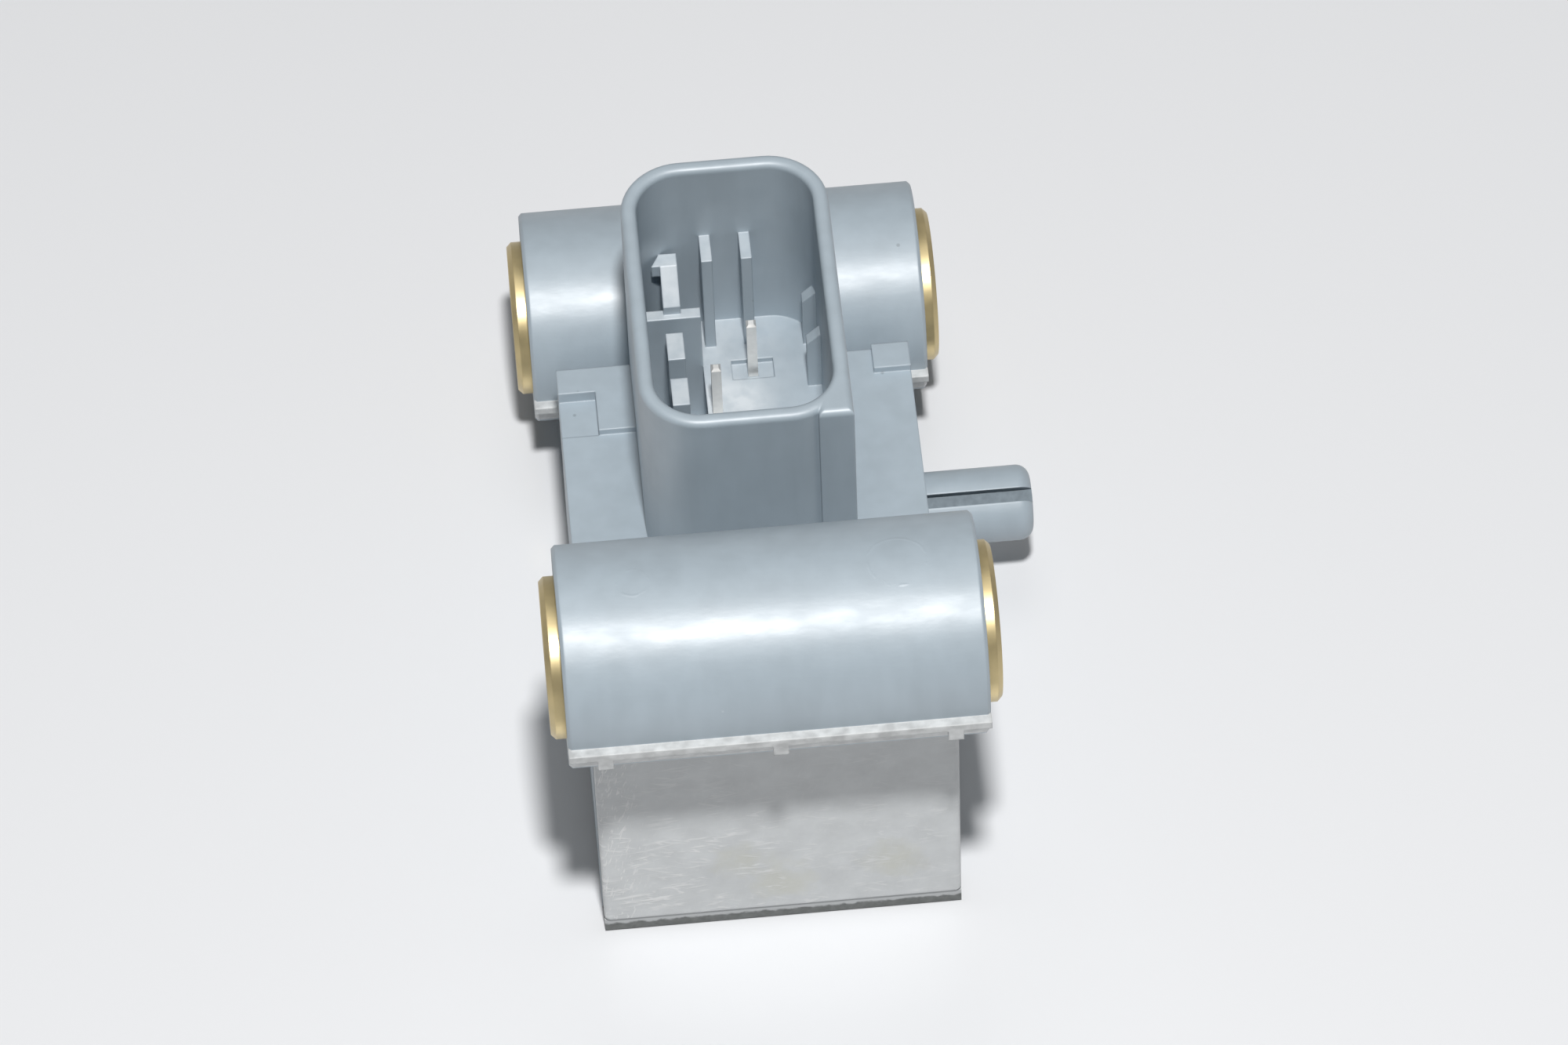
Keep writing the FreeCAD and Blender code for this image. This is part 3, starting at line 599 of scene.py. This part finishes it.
def seen_or_mirrored(tree):
    """1 on rays from the camera and on mirrored or refracted ones."""
    ray = add(tree, "ShaderNodeLightPath").outputs
    return most(tree, ray["Is Camera Ray"], ray["Is Glossy Ray"], ray["Is Transmission Ray"])


def table_top():
    """Pale, slightly glossy table, which throws less light back than it shows."""
    made, tree, shader = new_material("table_look")
    cloud = spread(tree, noise(tree, place_of(tree), TABLE_CLOUD, detail=2.0))
    shown = mottled(tree, cloud, TABLE, TABLE_TONES)
    connect(tree, shader, {
        "Base Color": mix(tree, seen_or_mirrored(tree), shaded(TABLE, TABLE_BOUNCE), shown),
        "Roughness": TABLE_ROUGHNESS,
    })
    return made


def make_table():
    """The table that the part stands on."""
    mesh = bpy.data.meshes.new("table")
    sides = ((-1, -1), (1, -1), (1, 1), (-1, 1))
    mesh.from_pydata([(x * TABLE_HALF, y * TABLE_HALF, 0.0) for x, y in sides], [], [(0, 1, 2, 3)])
    mesh.materials.append(table_top())
    table = bpy.data.objects.new("table", mesh)
    bpy.context.scene.collection.objects.link(table)


# The housing's finishes, by the number of their slot
SKIN, PALE_AND_LIT, SOCKET_FLOOR, GROOVE = range(4)

# Pale ledges, partly a painted highlight: how far below a barrel's axis they lie and how far past the
# barrel they stand
LEDGE_BELOW = (0.4 * MM, 2.1 * MM)
LEDGE_REACH = 1 * MM
LEDGE_PROUD = 0.3 * MM

# The skin under a ledge, which lies in shade and gets the ledges' pale colour as painted light: how far
# below the barrel's axis, and the least share of its radius ahead
UNDER_BELOW = (1.9 * MM, 3.6 * MM)
UNDER_AHEAD = 0.8

# The tabs over the cover, which lie in shade and get the ledges' pale colour as painted light: how far they
# lie from its top, and how close to its face a corner counts
TAB_REACH = 1.6 * MM
TOUCHING = 0.01 * MM

# Inside of the connector, from the middle of its mouth
SOCKET_HALF_WIDTH = 6.5 * MM
SOCKET_HALF_DEPTH = 10.2 * MM
SOCKET_RIM = 1 * MM

# The peg's groove: where it starts past the cover's side, and its least depth
GROOVE_START = 0.5 * MM
GROOVE_LEAST = 0.12 * MM

# The least share of a face's normal that makes it face up or sideways
FACING = 0.3


def within(values, low, high):
    """Whether all the values lie between two others."""
    return min(values) > low and max(values) < high


def on_ledge(corners):
    """Whether a face of the housing gets the pale colour: a ledge or nub, partly a painted highlight, or
    the skin under it or a tab over the cover, as painted light in their shade.
    """
    for axis in (front_axis, rear_axis):
        ahead = [axis.y - corner.y for corner in corners]
        below = [axis.z - corner.z for corner in corners]
        in_band = within(ahead, 0, barrel_radius + LEDGE_REACH)
        proud = max(map(math.hypot, ahead, below)) > barrel_radius + LEDGE_PROUD
        if in_band and proud and within(below, *LEDGE_BELOW):
            return True
        if in_band and within(below, *UNDER_BELOW) and min(ahead) > UNDER_AHEAD * barrel_radius:
            return True
    before_cover = max(corner.y for corner in corners) < cover_low.y + TOUCHING
    return before_cover and within([corner.z - cover_high.z for corner in corners], -TAB_REACH, TAB_REACH)


def in_socket(corners):
    """Whether a face of the housing is inside the connector, below its rim."""
    across = [corner.x - socket.x for corner in corners]
    along = [corner.y - socket.y for corner in corners]
    below_rim = max(corner.z for corner in corners) < socket.z - SOCKET_RIM
    in_width = within(across, -SOCKET_HALF_WIDTH, SOCKET_HALF_WIDTH)
    return below_rim and in_width and within(along, -SOCKET_HALF_DEPTH, SOCKET_HALF_DEPTH)


def in_groove(centre):
    """Whether a place on the housing is in the peg's groove."""
    off_axis = math.hypot(centre.y - peg_axis.y, centre.z - peg_axis.z)
    return centre.x > cover_high.x + GROOVE_START and off_axis < peg_radius - GROOVE_LEAST


def finish_of(face, corners):
    """The slot of the finish that a face of the housing has."""
    if on_ledge(corners):
        # Pale ledges with a painted highlight, and painted light on the shaded skin and tabs
        return PALE_AND_LIT
    # Up-facing faces in the connector get the pale film, partly painted light
    if in_socket(corners) and face.normal.z > FACING:
        return SOCKET_FLOOR
    # Faces in the peg's groove get painted shade
    if in_groove(face.center) and abs(face.normal.x) < FACING:
        return GROOVE
    return SKIN


def dress(name, *looks):
    """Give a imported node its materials."""
    mesh = nodes[name].data
    mesh.materials.clear()
    for look in looks:
        mesh.materials.append(look)


def dress_housing():
    """Blue-grey, with pale ledges partly painted as lit, painted light on the shaded skin and tabs by them,
    a pale film with painted light on the connector's up-facing faces, and painted shade in the groove.
    """
    dress(
        "housing",
        housing_plastic("housing_plastic_look"),
        pale_lit_ledge_plastic(),
        housing_plastic("socket_floor_look", film_and_light=True),
        groove_painted_shade(),
    )
    mesh = nodes["housing"].data
    for face in mesh.polygons:
        face.material_index = finish_of(face, [mesh.vertices[index].co for index in face.vertices])


def dress_nodes():
    """Every other node's finish."""
    dress("front_cover", cover_plastic())
    dress("cover_seal", seal_rubber())
    dress("front_sleeve", turned_brass("front_brass_look", front_axis))
    dress("rear_sleeve", turned_brass("rear_brass_look", rear_axis))
    dress("circuit_board", board_part("board_look", BOARD_GREEN, BOARD_ROUGHNESS))
    tin = tinned_metal()
    black = board_part("chip_look", CHIP_BLACK, CHIP_ROUGHNESS)
    tan = board_part("ceramic_look", CERAMIC_TAN, CERAMIC_ROUGHNESS)
    for name in nodes:
        if name.startswith(("terminal", "solder")):
            dress(name, tin)
        if name.endswith(("chip", "diode")) or name.startswith("resistor"):
            dress(name, black)
        if name.startswith("capacitor"):
            dress(name, tan)


def add_lamp(name, elevation, size, power):
    """A round lamp that shines at the object; past 90 degrees it stands behind it."""
    lamp = bpy.data.lights.new(name, "AREA")
    lamp.shape = "DISK"
    lamp.size = size
    lamp.energy = power
    holder = bpy.data.objects.new(name, lamp)
    away = Vector((
        math.sin(LAMP_AZIMUTH) * math.cos(elevation),
        -math.cos(LAMP_AZIMUTH) * math.cos(elevation),
        math.sin(elevation),
    ))
    holder.location = AIM + away * LAMP_DISTANCE
    holder.rotation_euler = (-away).to_track_quat("-Z", "Y").to_euler()
    bpy.context.scene.collection.objects.link(holder)


def make_room():
    """An even white room, brighter where it is seen or mirrored."""
    world = bpy.data.worlds.new("room")
    world.use_nodes = True
    tree = world.node_tree
    connect(tree, tree.nodes["Background"], {
        "Color": (1.0, 1.0, 1.0, 1.0),
        "Strength": fit(tree, seen_or_mirrored(tree), 0.0, 1.0, ROOM_LIGHT, ROOM_SEEN),
    })
    bpy.context.scene.world = world


def make_camera():
    """The photograph's viewpoint with a longer lens."""
    lens = bpy.data.cameras.new("camera")
    lens.lens = LENS_MM
    lens.clip_start = NEAREST_SEEN
    camera = bpy.data.objects.new("camera", lens)
    turn = (AIM - CAMERA_PLACE).to_track_quat("-Z", "Y")
    camera.location = CAMERA_PLACE
    camera.rotation_euler = (turn @ Quaternion((0, 0, 1), CAMERA_ROLL)).to_euler()
    bpy.context.scene.collection.objects.link(camera)
    bpy.context.scene.camera = camera


dress_housing()
dress_nodes()
make_table()
add_lamp("key", KEY_ELEVATION, KEY_SIZE, KEY_POWER)
add_lamp("softbox", SOFT_ELEVATION, SOFT_SIZE, SOFT_POWER)
make_room()
make_camera()
bpy.context.scene.view_settings.view_transform = "Standard"
